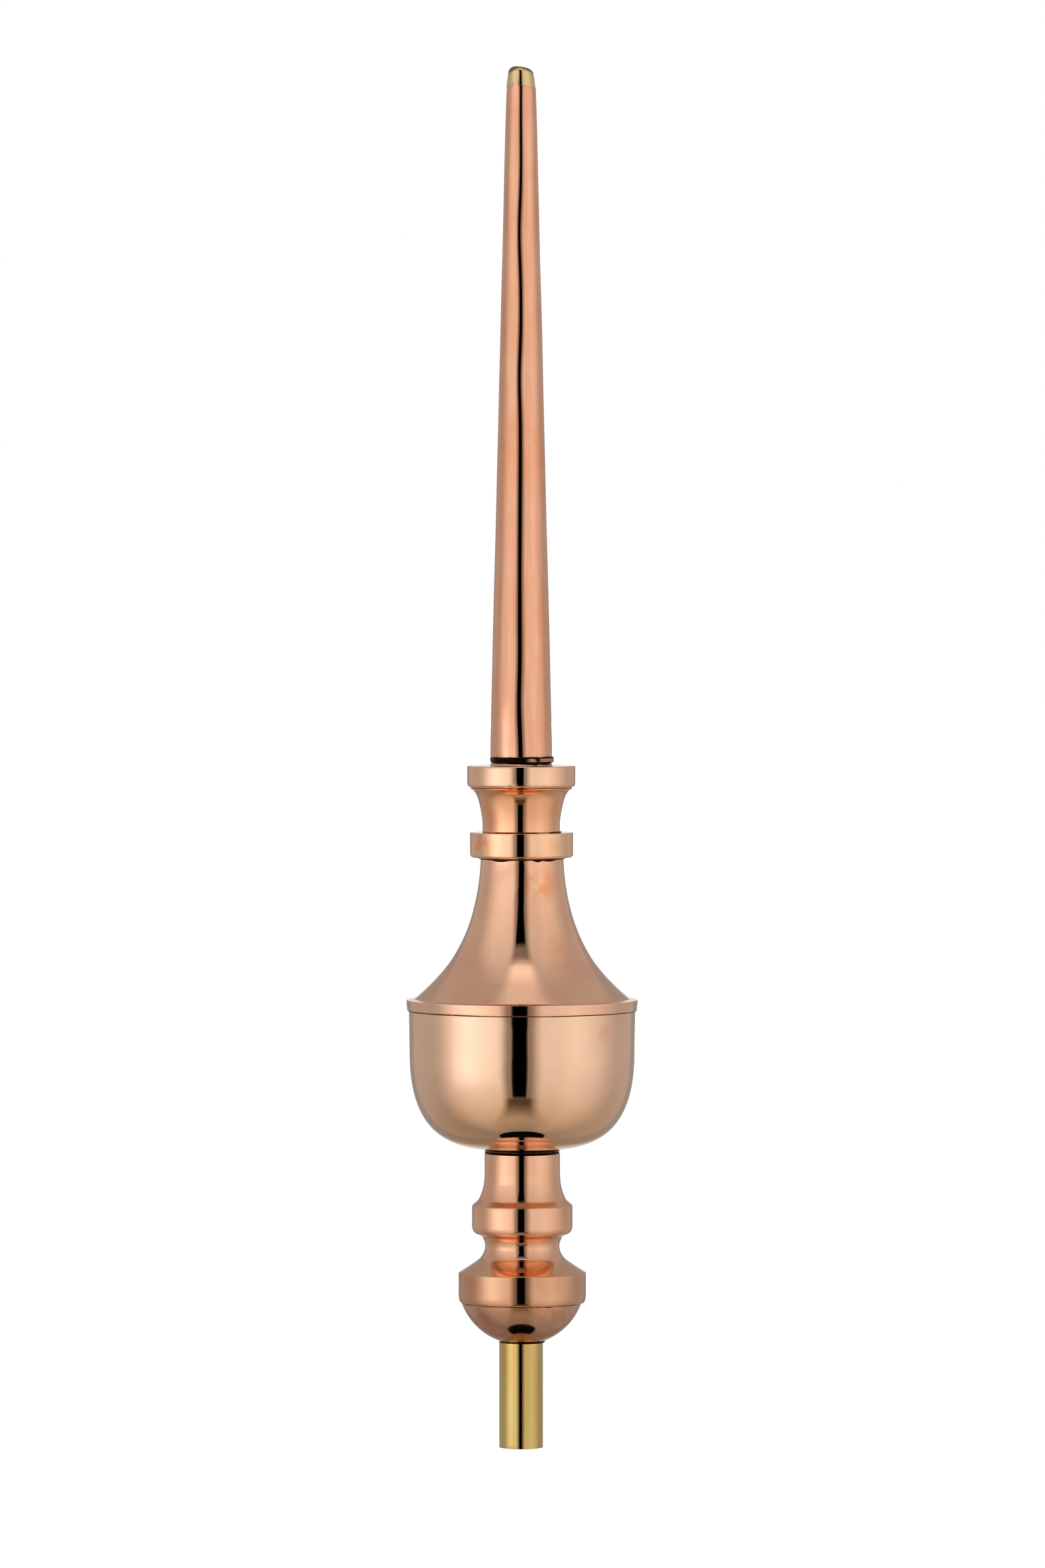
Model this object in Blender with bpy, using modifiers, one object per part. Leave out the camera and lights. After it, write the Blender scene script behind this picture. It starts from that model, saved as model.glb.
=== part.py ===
"""Roof finial of spun copper shells on a brass rod, in metres with +Z up.

The origin is the middle of the rod's cut lower end, and the finial stands up the Z axis.
Every piece is turned: an outline of (radius, height) points is spun round the axis.
The pieces are stacked face to face, and each height is worked out from the one below.
The shells are sealed, so each piece is solid.
"""

from math import asin, cos, pi, radians, sin, sqrt, tan

import bpy

# Rod
ROD_RADIUS = 0.009525
ROD_LENGTH = 0.0458
ROD_EDGE = 0.0003

# Half ball, whose straight rim goes up into the spindle's skirt
BALL_RADIUS = 0.0277
BALL_RIM_HEIGHT = 0.0032

# Spindle, from its skirt up to its neck
CUP_SKIRT_WALL = 0.0010
CUP_SKIRT_DROP = 0.0006
CUP_SKIRT_ROUND_HEIGHT = 0.0034
CUP_BAND_RISE = 0.0086
COVER_HEIGHT = 0.0114
THROAT_RADIUS = 0.0163
COVE_WIDTH = 0.0013
COVE_HEIGHT = 0.0040
BEAD_RADIUS = 0.0219
BEAD_UNDER_HEIGHT = 0.0017
BEAD_ROUND_WIDTH = 0.0019
BEAD_ROUND_HEIGHT = 0.0032
BEAD_HEIGHT = 0.0085
BEAD_CHAMFER_WIDTH = 0.0018
BEAD_CHAMFER_HEIGHT = 0.0022
NECK_RADIUS = 0.01645
NECK_FLARE_HEIGHT = 0.0127
NECK_HEIGHT = 0.0082

# Bowl, from its foot up to its top edge
BOWL_FOOT_RADIUS = 0.0157
BOWL_FOOT_HEIGHT = 0.00135
BOWL_BOTTOM_RADIUS = 0.0165
BOWL_CURVE_HEIGHT = 0.0415
BOWL_WALL_HEIGHT = 0.0222
BOWL_WALL_TAPER = 0.00035
BOWL_RADIUS = 0.0492

# Bell, from its skirt up to its neck
BELL_SKIRT_WALL = 0.0008
BELL_SKIRT_LAP = 0.0035
BELL_SKIRT_TAPER = 0.0004
BELL_RIM_THICKNESS = 0.0010
BELL_HEIGHT = 0.0612
BELL_NECK_RADIUS = 0.01797

# Collar ring
RING_RADIUS = 0.0224
RING_HEIGHT = 0.01095
RING_ROUND = 0.0014

# Upper cup, from its foot up to the seat of the spire
WAIST_RADIUS = 0.01675
WAIST_HEIGHT = 0.0024
CAVETTO_HEIGHT = 0.01635
FLANGE_RADIUS = 0.0235
FLANGE_HEIGHT = 0.0094
FLANGE_OVERHANG = 0.0026
FLANGE_UNDER_HEIGHT = 0.0004
FLANGE_ROUND = 0.0017
FLANGE_EDGE = 0.0003
SEAT_RADIUS = 0.0126
SEAT_CONE_WIDTH = 0.0024
SEAT_CONE_HEIGHT = 0.0024
SEAT_NECK_HEIGHT = 0.0008

# Spire
SPIRE_LENGTH = 0.2900
SPIRE_FOOT_RADIUS = 0.01345
SPIRE_TOP_RADIUS = 0.0064
SPIRE_CURL_WIDTH = 0.00045
SPIRE_CURL_HEIGHT = 0.0045

# Tip cap
TIP_HEIGHT = 0.0081
TIP_TAPER = 0.0007
TIP_ROUND = 0.0032

# Clearances between neighbouring pieces
FACE_GAP = 0.0003
LAP_CLEARANCE = 0.0003

# Fullness of the curves, as powers and as shares of each curve's own height
BELL_PULL = 0.82
BELL_LEAN = radians(2.4)
BOWL_PULL = 1.064
BOWL_EASE = 0.0685
NECK_FLARE_POWER = 2.8
COVE_POWER = 2.0
CAVETTO_POWER = 2.1

# Turning
TURN_STEPS = 48
MERGE_DISTANCE = 0.00001

# Colours and finishes: linear base colour and roughness
POLISHED_COPPER = ((0.85, 0.50, 0.33), 0.12)
SATIN_COPPER = ((0.62, 0.34, 0.22), 0.30)
DRAWN_BRASS = ((0.78, 0.58, 0.26), 0.22)

# Heights where the pieces meet, worked out from the sizes above
BALL_FOOT = ROD_LENGTH + FACE_GAP
BALL_CENTRE = BALL_FOOT + sqrt(BALL_RADIUS**2 - ROD_RADIUS**2)
BALL_RIM_RADIUS = BALL_RADIUS - CUP_SKIRT_WALL - LAP_CLEARANCE
BALL_RIM = BALL_CENTRE - sqrt(BALL_RADIUS**2 - BALL_RIM_RADIUS**2)
BALL_TOP = BALL_RIM + BALL_RIM_HEIGHT
CUP_CEILING = BALL_TOP + FACE_GAP
CUP_RIM = CUP_CEILING + CUP_BAND_RISE
THROAT = CUP_RIM + COVER_HEIGHT
BEAD_FOOT = THROAT + COVE_HEIGHT
BEAD_SIDE = BEAD_FOOT + BEAD_UNDER_HEIGHT + BEAD_ROUND_HEIGHT
BEAD_SHOULDER = BEAD_SIDE + BEAD_HEIGHT
NECK_FOOT = BEAD_SHOULDER + BEAD_CHAMFER_HEIGHT + NECK_FLARE_HEIGHT
SPINDLE_TOP = NECK_FOOT + NECK_HEIGHT
BOWL_FOOT = SPINDLE_TOP + FACE_GAP
BOWL_BOTTOM = BOWL_FOOT + BOWL_FOOT_HEIGHT
BOWL_WALL = BOWL_BOTTOM + BOWL_CURVE_HEIGHT
BOWL_TOP = BOWL_WALL + BOWL_WALL_HEIGHT
BELL_CEILING = BOWL_TOP + FACE_GAP
BELL_RIM = BELL_CEILING + BELL_RIM_THICKNESS
BELL_TOP = BELL_RIM + BELL_HEIGHT
RING_FOOT = BELL_TOP + FACE_GAP
RING_TOP = RING_FOOT + RING_HEIGHT
CUP_FOOT = RING_TOP + FACE_GAP
CAVETTO_TOP = CUP_FOOT + WAIST_HEIGHT + CAVETTO_HEIGHT
FLANGE_FOOT = CAVETTO_TOP + FLANGE_UNDER_HEIGHT
FLANGE_TOP = FLANGE_FOOT + FLANGE_HEIGHT
SEAT_TOP = FLANGE_TOP + SEAT_CONE_HEIGHT + SEAT_NECK_HEIGHT
SPIRE_FOOT = SEAT_TOP + FACE_GAP
SPIRE_TOP = SPIRE_FOOT + SPIRE_LENGTH
TIP_FOOT = SPIRE_TOP + FACE_GAP


def clear_scene():
    """Removes every object, so that the model is built into an empty scene."""
    for existing in list(bpy.data.objects):
        bpy.data.objects.remove(existing, do_unlink=True)


def make_collection(name):
    """Makes the collection that holds the finial's pieces."""
    collection = bpy.data.collections.new(name)
    bpy.context.scene.collection.children.link(collection)
    return collection


def metal(name, finish):
    """Makes a bare metal material of the given colour and roughness."""
    colour, roughness = finish
    material = bpy.data.materials.new(name)
    material.use_nodes = True
    shader = material.node_tree.nodes["Principled BSDF"]
    shader.inputs["Base Color"].default_value = (*colour, 1.0)
    shader.inputs["Metallic"].default_value = 1.0
    shader.inputs["Roughness"].default_value = roughness
    return material


def turn(collection, name, finish, outline):
    """Spins an outline, given from the top of the axis down its outer side and back to the axis."""
    mesh = bpy.data.meshes.new(name)
    corners = [(radius, 0.0, height) for radius, height in outline]
    edges = [(index, index + 1) for index in range(len(corners) - 1)]
    mesh.from_pydata(corners, edges, [])
    piece = bpy.data.objects.new(name, mesh)
    collection.objects.link(piece)
    piece.data.materials.append(metal(name, finish))
    spin = piece.modifiers.new("Turning", "SCREW")
    spin.axis = "Z"
    spin.angle = 2 * pi
    spin.steps = TURN_STEPS
    spin.render_steps = TURN_STEPS
    spin.use_merge_vertices = True
    spin.merge_threshold = MERGE_DISTANCE
    spin.use_smooth_shade = True
    return piece


def rounded(level, upright, count):
    """Quarter of an ellipse that starts level at one point and ends upright at the other."""
    points = []
    for step in range(count + 1):
        angle = pi / 2 * step / count
        radius = level[0] + (upright[0] - level[0]) * sin(angle)
        height = upright[1] + (level[1] - upright[1]) * cos(angle)
        points.append((radius, height))
    return points


def flared(narrow, wide, power, count):
    """Hollow curve that leaves the narrow end upright and opens faster towards the wide end."""
    points = []
    for step in range(count + 1):
        share = step / count
        radius = narrow[0] + (wide[0] - narrow[0]) * share**power
        height = narrow[1] + (wide[1] - narrow[1]) * share
        points.append((radius, height))
    return points


def swept(start, end, pull, lean, ease, count):
    """Cubic curve that leaves its start downwards, leaning out, for the given share of its height.

    Its last handle lies the share `ease` of the way back from the end to the start.
    """
    drop = start[1] - end[1]
    handles = (
        start,
        (start[0] + pull * drop * tan(lean), start[1] - pull * drop),
        (end[0] + ease * (start[0] - end[0]), end[1] + ease * drop),
        end,
    )
    points = []
    for step in range(count + 1):
        share = step / count
        weights = (
            (1 - share) ** 3,
            3 * (1 - share) ** 2 * share,
            3 * (1 - share) * share**2,
            share**3,
        )
        radius = sum(weight * handle[0] for weight, handle in zip(weights, handles))
        height = sum(weight * handle[1] for weight, handle in zip(weights, handles))
        points.append((radius, height))
    return points


def ball_side(count):
    """Arc of the half ball from its straight rim down to the flat that sits on the rod."""
    start = asin(BALL_RIM_RADIUS / BALL_RADIUS)
    end = asin(ROD_RADIUS / BALL_RADIUS)
    points = []
    for step in range(count + 1):
        angle = start + (end - start) * step / count
        points.append((BALL_RADIUS * sin(angle), BALL_CENTRE - BALL_RADIUS * cos(angle)))
    return points


def rod_outline():
    """Round bar with its lower edge broken."""
    return [
        (0.0, ROD_LENGTH),
        (ROD_RADIUS, ROD_LENGTH),
        (ROD_RADIUS, ROD_EDGE),
        (ROD_RADIUS - ROD_EDGE, 0.0),
        (0.0, 0.0),
    ]


def half_ball_outline():
    """Half ball with a straight rim at the top and a flat at the bottom."""
    return [
        (0.0, BALL_TOP),
        (BALL_RIM_RADIUS, BALL_TOP),
        *ball_side(7),
        (0.0, BALL_FOOT),
    ]


def spindle_outline():
    """Neck, bead, cove and flared cover, with a skirt that laps over the half ball."""
    skirt_foot = BALL_RIM - CUP_SKIRT_DROP
    skirt_inside = BALL_RIM_RADIUS + LAP_CLEARANCE
    skirt_turn = skirt_inside + CUP_SKIRT_WALL / 10
    shoulder = (BEAD_RADIUS - BEAD_CHAMFER_WIDTH, BEAD_SHOULDER + BEAD_CHAMFER_HEIGHT)
    bead_under = (BEAD_RADIUS - BEAD_ROUND_WIDTH, BEAD_FOOT + BEAD_UNDER_HEIGHT)
    throat = (THROAT_RADIUS, THROAT)
    cove_top = (THROAT_RADIUS + COVE_WIDTH, BEAD_FOOT)
    cup_rim = (BALL_RADIUS, CUP_RIM)
    return [
        (0.0, SPINDLE_TOP),
        (NECK_RADIUS, SPINDLE_TOP),
        *flared((NECK_RADIUS, NECK_FOOT), shoulder, NECK_FLARE_POWER, 5),
        (BEAD_RADIUS, BEAD_SHOULDER),
        *rounded(bead_under, (BEAD_RADIUS, BEAD_SIDE), 3)[::-1],
        *flared(throat, cove_top, COVE_POWER, 3)[::-1],
        *flared(throat, cup_rim, COVE_POWER, 6)[1:],
        *rounded((skirt_turn, skirt_foot), (BALL_RADIUS, skirt_foot + CUP_SKIRT_ROUND_HEIGHT), 3)[::-1],
        (skirt_inside, skirt_foot),
        (skirt_inside, CUP_CEILING),
        (0.0, CUP_CEILING),
    ]


def bowl_outline():
    """Deep bowl with a slightly tapered wall, standing on a small recessed foot."""
    wall_foot = (BOWL_RADIUS - BOWL_WALL_TAPER, BOWL_WALL)
    bottom = (BOWL_BOTTOM_RADIUS, BOWL_BOTTOM)
    return [
        (0.0, BOWL_TOP),
        (BOWL_RADIUS, BOWL_TOP),
        *swept(wall_foot, bottom, BOWL_PULL, 0.0, BOWL_EASE, 11),
        (BOWL_FOOT_RADIUS, BOWL_BOTTOM),
        (BOWL_FOOT_RADIUS, BOWL_FOOT),
        (0.0, BOWL_FOOT),
    ]


def bell_outline():
    """Bell whose rim turns down as a skirt that laps over the bowl's top edge."""
    skirt_inside = BOWL_RADIUS + LAP_CLEARANCE
    rim_radius = skirt_inside + BELL_SKIRT_WALL
    skirt_foot = BELL_CEILING - BELL_SKIRT_LAP
    neck = (BELL_NECK_RADIUS, BELL_TOP)
    return [
        (0.0, BELL_TOP),
        *swept(neck, (rim_radius, BELL_RIM), BELL_PULL, BELL_LEAN, 0.0, 13),
        (rim_radius - BELL_SKIRT_TAPER, skirt_foot),
        (skirt_inside, skirt_foot),
        (skirt_inside, BELL_CEILING),
        (0.0, BELL_CEILING),
    ]


def collar_ring_outline():
    """Plain ring with a sharp upper edge and a rounded lower edge."""
    under = (RING_RADIUS - RING_ROUND, RING_FOOT)
    return [
        (0.0, RING_TOP),
        (RING_RADIUS, RING_TOP),
        *rounded(under, (RING_RADIUS, RING_FOOT + RING_ROUND), 3)[::-1],
        (0.0, RING_FOOT),
    ]


def upper_cup_outline():
    """Seat for the spire, wide flange and hollow-curved body down to the ring."""
    waist = (WAIST_RADIUS, CUP_FOOT + WAIST_HEIGHT)
    cavetto_top = (FLANGE_RADIUS - FLANGE_OVERHANG, CAVETTO_TOP)
    flange_under = (FLANGE_RADIUS - FLANGE_ROUND, FLANGE_FOOT)
    return [
        (0.0, SEAT_TOP),
        (SEAT_RADIUS, SEAT_TOP),
        (SEAT_RADIUS, FLANGE_TOP + SEAT_CONE_HEIGHT),
        (SEAT_RADIUS + SEAT_CONE_WIDTH, FLANGE_TOP),
        (FLANGE_RADIUS - FLANGE_EDGE, FLANGE_TOP),
        (FLANGE_RADIUS, FLANGE_TOP - FLANGE_EDGE),
        *rounded(flange_under, (FLANGE_RADIUS, FLANGE_FOOT + FLANGE_ROUND), 3)[::-1],
        *flared(waist, cavetto_top, CAVETTO_POWER, 5)[::-1],
        (WAIST_RADIUS, CUP_FOOT),
        (0.0, CUP_FOOT),
    ]


def spire_outline():
    """Long tapered tube that curls in a little at its foot."""
    curl_foot = (SPIRE_FOOT_RADIUS - SPIRE_CURL_WIDTH, SPIRE_FOOT)
    return [
        (0.0, SPIRE_TOP),
        (SPIRE_TOP_RADIUS, SPIRE_TOP),
        *rounded(curl_foot, (SPIRE_FOOT_RADIUS, SPIRE_FOOT + SPIRE_CURL_HEIGHT), 2)[::-1],
        (0.0, SPIRE_FOOT),
    ]


def tip_cap_outline():
    """Small cap that carries on the spire's taper and is closed by a rounded shoulder."""
    top = TIP_FOOT + TIP_HEIGHT
    shoulder_radius = SPIRE_TOP_RADIUS - TIP_TAPER
    return [
        (0.0, top),
        *rounded((shoulder_radius - TIP_ROUND, top), (shoulder_radius, top - TIP_ROUND), 4),
        (SPIRE_TOP_RADIUS, TIP_FOOT),
        (0.0, TIP_FOOT),
    ]


def build():
    """Builds the nine pieces, from the rod at the foot to the cap at the top."""
    clear_scene()
    finial = make_collection("roof_finial")
    turn(finial, "rod", DRAWN_BRASS, rod_outline())
    turn(finial, "half_ball", SATIN_COPPER, half_ball_outline())
    turn(finial, "spindle", POLISHED_COPPER, spindle_outline())
    turn(finial, "bowl", POLISHED_COPPER, bowl_outline())
    turn(finial, "bell", POLISHED_COPPER, bell_outline())
    turn(finial, "collar_ring", POLISHED_COPPER, collar_ring_outline())
    turn(finial, "upper_cup", POLISHED_COPPER, upper_cup_outline())
    turn(finial, "spire", POLISHED_COPPER, spire_outline())
    turn(finial, "tip_cap", DRAWN_BRASS, tip_cap_outline())


build()
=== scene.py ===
"""Roof finial of spun copper shells on a brass rod, dressed for its picture.

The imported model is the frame. Each of its nine turned pieces is replaced by a finer one: an
outline of (radius, height, rounding) corners is softened, divided and spun round the Z axis,
then worn a little by hand. Thin uneven rings of solder close the joints. Sizes are in metres.
Azimuths are measured from the front, -Y, and grow towards +X.
"""

from math import asin, atan2, ceil, comb, cos, degrees, exp, hypot, pi, radians, sin, sqrt, tan

import bmesh
import bpy
from bpy.props import FloatProperty, FloatVectorProperty, PointerProperty
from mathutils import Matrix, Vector, noise


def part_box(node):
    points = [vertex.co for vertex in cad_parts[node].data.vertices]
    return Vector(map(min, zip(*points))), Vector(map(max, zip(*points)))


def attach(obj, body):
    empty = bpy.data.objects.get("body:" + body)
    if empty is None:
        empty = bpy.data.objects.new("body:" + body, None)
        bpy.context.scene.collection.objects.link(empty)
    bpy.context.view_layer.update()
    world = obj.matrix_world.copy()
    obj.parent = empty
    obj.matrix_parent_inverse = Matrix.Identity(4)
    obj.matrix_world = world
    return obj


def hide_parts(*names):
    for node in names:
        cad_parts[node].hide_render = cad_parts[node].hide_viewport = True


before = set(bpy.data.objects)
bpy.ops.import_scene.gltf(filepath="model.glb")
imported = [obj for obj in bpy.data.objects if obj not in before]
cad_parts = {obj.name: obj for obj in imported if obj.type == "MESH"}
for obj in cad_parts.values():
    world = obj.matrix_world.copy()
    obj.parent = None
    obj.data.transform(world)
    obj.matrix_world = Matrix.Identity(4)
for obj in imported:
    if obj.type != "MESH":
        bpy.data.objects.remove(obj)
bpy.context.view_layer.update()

bl_info = {
    "name": "Spun Copper Roof Finial",
    "version": (1, 0, 0),
    "blender": (4, 5, 0),
    "location": "3D View > Sidebar > Finial",
    "description": "Builds a turned copper roof finial on a brass rod, piece by piece",
    "category": "Add Mesh",
}

MM = 0.001
BODY = "root"
SHARP_TURN = 25.0
CRISP_EDGE = 0.10 * MM
TOUCHING = 0.001 * MM

# How far each piece stands from the axis, where it was soldered on a little crooked.
ASIDE = {
    "tip_cap": -0.50 * MM,
    "spire": -0.35 * MM,
    "upper_cup": -0.35 * MM,
    "collar_ring": -0.20 * MM,
    "spindle": 0.10 * MM,
    "half_ball": -0.20 * MM,
    "rod": -0.40 * MM,
}

# Orange heat tint left by the soldering: (centre, size, strength) of each stain.
TINTS = {
    "spire": (
        ((-0.003, -0.008, 0.532), 2.4 * MM, 0.80),
        ((0.004, -0.006, 0.551), 6.0 * MM, 0.35),
        ((0.002, -0.010, 0.431), 24.0 * MM, 0.50),
        ((0.011, -0.006, 0.352), 22.0 * MM, 0.30),
    ),
    "upper_cup": (
        ((-0.016, -0.008, 0.277), 7.0 * MM, 0.45),
        ((0.006, -0.016, 0.280), 6.0 * MM, 0.25),
    ),
    "collar_ring": (
        ((-0.017, -0.014, 0.2615), 9.0 * MM, 1.00),
        ((0.014, -0.017, 0.262), 6.0 * MM, 0.35),
    ),
    "bell": (
        ((0.008, -0.018, 0.245), 12.0 * MM, 1.00),
        ((0.013, -0.022, 0.218), 9.0 * MM, 0.45),
    ),
    "bowl": (((0.035, -0.034, 0.181), 6.0 * MM, 0.30),),
    "spindle": (((0.010, -0.013, 0.118), 6.0 * MM, 0.25),),
}

# Faces round each piece, where they aren't 144, and the longest face along its outline.
ROUND_STEPS = {"tip_cap": 96, "spire": 128, "bell": 208, "bowl": 208, "spindle": 160, "rod": 96}
LONGEST_STEP = {
    "tip_cap": 0.5 * MM,
    "spire": 1.6 * MM,
    "upper_cup": 0.8 * MM,
    "collar_ring": 0.8 * MM,
    "bell": 0.9 * MM,
    "bowl": 1.0 * MM,
    "spindle": 0.7 * MM,
    "half_ball": 1.0 * MM,
    "rod": 1.5 * MM,
}

HOLLOW_BEND = 0.487
LIP_POWER = 9
LINE_DRIFT = 8.0
CAP_LEVEL = 2 * MM
SHOULDER_EDGE_SHADE = 75.0
PACKED = {node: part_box(node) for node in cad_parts}


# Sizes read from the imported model


def foot_of(node):
    """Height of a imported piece's lowest point."""
    return PACKED[node][0].z


def top_of(node):
    """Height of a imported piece's highest point."""
    return PACKED[node][1].z


def radius_of(node):
    """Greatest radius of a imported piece."""
    low, high = PACKED[node]
    return (high.x - low.x) / 2


# Sizes, colours and studio settings that a user would change


def length(name, description, default, low=0.0, high=1.0):
    """A length in metres."""
    return FloatProperty(
        name=name, description=description, default=default, min=low, max=high,
        subtype="DISTANCE", unit="LENGTH", precision=5,
    )


def share(name, description, default, high=1.0):
    """A plain share or strength."""
    return FloatProperty(name=name, description=description, default=default, min=0.0, max=high)


def colour(name, description, default):
    """A linear colour."""
    return FloatVectorProperty(
        name=name, description=description, default=default, size=3, min=0.0, max=1.0,
        subtype="COLOR",
    )


class FinialSpireSizes(bpy.types.PropertyGroup):
    """Sizes of the spire, its cap and its seat."""

    foot_radius: length("Foot radius", "Radius just above the curled foot", radius_of("spire"))
    top_radius: length("Top radius", "Radius where the brass cap begins", radius_of("tip_cap"))
    curl_width: length("Curl width", "How far the foot curls in", 0.28 * MM)
    curl_height: length("Curl height", "Height over which the foot curls in", 2.5 * MM)
    cap_taper: length("Cap taper", "How much the cap narrows up to its shoulder", 0.95 * MM)
    cap_round: length("Cap rounding", "Radius of the cap's shoulder", 2.9 * MM)
    cap_tilt: share("Cap tilt", "Slope of the cap's top, which falls to the right", 0.13)
    pinch: length("Pinch", "How much the last bit of the spire is drawn in", 0.15 * MM)
    seat_radius: length("Seat radius", "Radius of the short neck under the spire", 12.6 * MM)
    seat_neck: length("Seat neck", "Height of the short neck", 1.9 * MM)
    cone_top: length("Cone top", "Radius at the top of the low cone on the flange", 12.9 * MM)
    cone_foot: length("Cone foot", "Radius at the foot of the low cone", 13.7 * MM)
    cone_height: length("Cone height", "Height of the low cone", 1.3 * MM)


class FinialCupSizes(bpy.types.PropertyGroup):
    """Sizes of the upper cup and the ring below it."""

    flange_radius: length("Flange radius", "Radius of the wide flange", radius_of("upper_cup"))
    flange_height: length("Flange height", "Height of the flange's side", 9.4 * MM)
    flange_overhang: length("Flange overhang", "How far it stands over the hollow", 1.3 * MM)
    flange_under: length("Flange underside", "Height of the sloping underside", 0.5 * MM)
    flange_round: length("Flange rounding", "Rounding of the flange's lower edge", 1.7 * MM)
    waist_radius: length("Waist radius", "Radius at the foot of the hollow", 16.80 * MM)
    waist_height: length("Waist height", "Height of the straight waist", 2.87 * MM)
    hollow_height: length("Hollow height", "Height of the hollow curve", 15.0 * MM)
    hollow_lean: length("Hollow lean", "How far the hollow leans out as a cone", 4.11 * MM)
    hollow_lip: length("Hollow lip", "How much more its upper end turns out", 1.5 * MM)
    ring_radius: length("Ring radius", "Radius of the collar ring", radius_of("collar_ring"))
    ring_round: length("Ring rounding", "Rounding of the ring's lower edge", 1.4 * MM)


class FinialBodySizes(bpy.types.PropertyGroup):
    """Sizes of the bell and the bowl."""

    bell_neck: length("Bell neck", "Radius at the top of the bell", 17.97 * MM)
    bell_rim: length("Bell rim", "Radius of the bell's rim", radius_of("bell"))
    bell_flare: length("Bell flare", "Radius where the lower side begins", 31.5 * MM)
    bell_knee: length("Bell knee", "Radius that the lower side is drawn towards", 37.08 * MM)
    bell_knee_height: length("Bell knee height", "Height of that place above the rim", 8.49 * MM)
    bell_ledge: length("Bell ledge", "Width of the narrow ledge round the rim", 3.4 * MM)
    bell_skirt: length("Bell skirt", "How far the skirt laps down over the bowl", 3.5 * MM)
    bell_edge: length("Bell edge", "Height of the rim above the bowl's top", 1.0 * MM)
    bell_wall: length("Bell wall", "Thickness of the skirt", 0.8 * MM)
    bell_taper: length("Skirt taper", "How much the skirt turns in at its foot", 0.4 * MM)
    bowl_radius: length("Bowl radius", "Radius at the bowl's top edge", radius_of("bowl"))
    bowl_wall: length("Bowl wall", "Height of the nearly straight wall", 22.2 * MM)
    bowl_taper: length("Bowl taper", "How much the wall narrows downwards", 0.35 * MM)
    bowl_bottom: length("Bowl bottom", "Radius where the curve ends", 16.5 * MM)
    bowl_foot: length("Bowl foot", "Radius of the recessed foot", 15.7 * MM)
    bowl_foot_height: length("Bowl foot height", "Height of the recessed foot", 0.75 * MM)


class FinialSpindleSizes(bpy.types.PropertyGroup):
    """Sizes of the turned neck with its bead, cove, cover and skirt."""

    neck_radius: length("Neck radius", "Radius of the straight neck", 16.45 * MM)
    neck_height: length("Neck height", "Height of the straight neck", 8.2 * MM)
    flare_height: length("Flare height", "Height of the flare above the bead", 11.9 * MM)
    bead_radius: length("Bead radius", "Radius of the bead", 21.9 * MM)
    bead_height: length("Bead height", "Height of the bead's straight side", 8.75 * MM)
    bead_slope_width: length("Bead slope width", "Width of the slope on its shoulder", 2.8 * MM)
    bead_slope: length("Bead slope height", "Height of the slope on its shoulder", 2.3 * MM)
    bead_round_width: length("Bead rounding width", "Width of its rounded foot", 2.6 * MM)
    bead_round: length("Bead rounding", "Height of its rounded foot", 3.5 * MM)
    bead_under: length("Bead underside", "Height of the step under it", 1.0 * MM)
    throat_radius: length("Throat radius", "Radius at the narrowest point", 16.2 * MM)
    cove_width: length("Cove width", "Width of the small cove under the bead", 1.5 * MM)
    cove_height: length("Cove height", "Height of the small cove", 4.2 * MM)
    cover_height: length("Cover height", "Height of the flared cover", 11.4 * MM)
    crease_radius: length("Crease radius", "Radius where the cover turns into a cone", 18.2 * MM)
    crease_drop: length("Crease drop", "Depth of that place below the throat", 5.0 * MM)
    cup_radius: length("Cup radius", "Radius of the band over the half ball", radius_of("spindle"))
    band_rise: length("Band rise", "Height of the band above the half ball", 8.6 * MM)
    skirt_wall: length("Skirt wall", "Thickness of the skirt at its foot", 1.0 * MM)
    skirt_round: length("Skirt rounding", "Height over which the skirt turns in", 3.4 * MM)


class FinialFootSizes(bpy.types.PropertyGroup):
    """Sizes of the half ball and the rod."""

    ball_radius: length("Ball radius", "Radius of the half ball", radius_of("spindle"))
    rim_radius: length("Ball rim", "Radius of its straight rim", radius_of("half_ball"))
    rod_radius: length("Rod radius", "Radius of the brass rod", radius_of("rod"))
    rod_edge: length("Rod edge", "Width of the rod's broken lower edge", 0.12 * MM)


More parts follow.
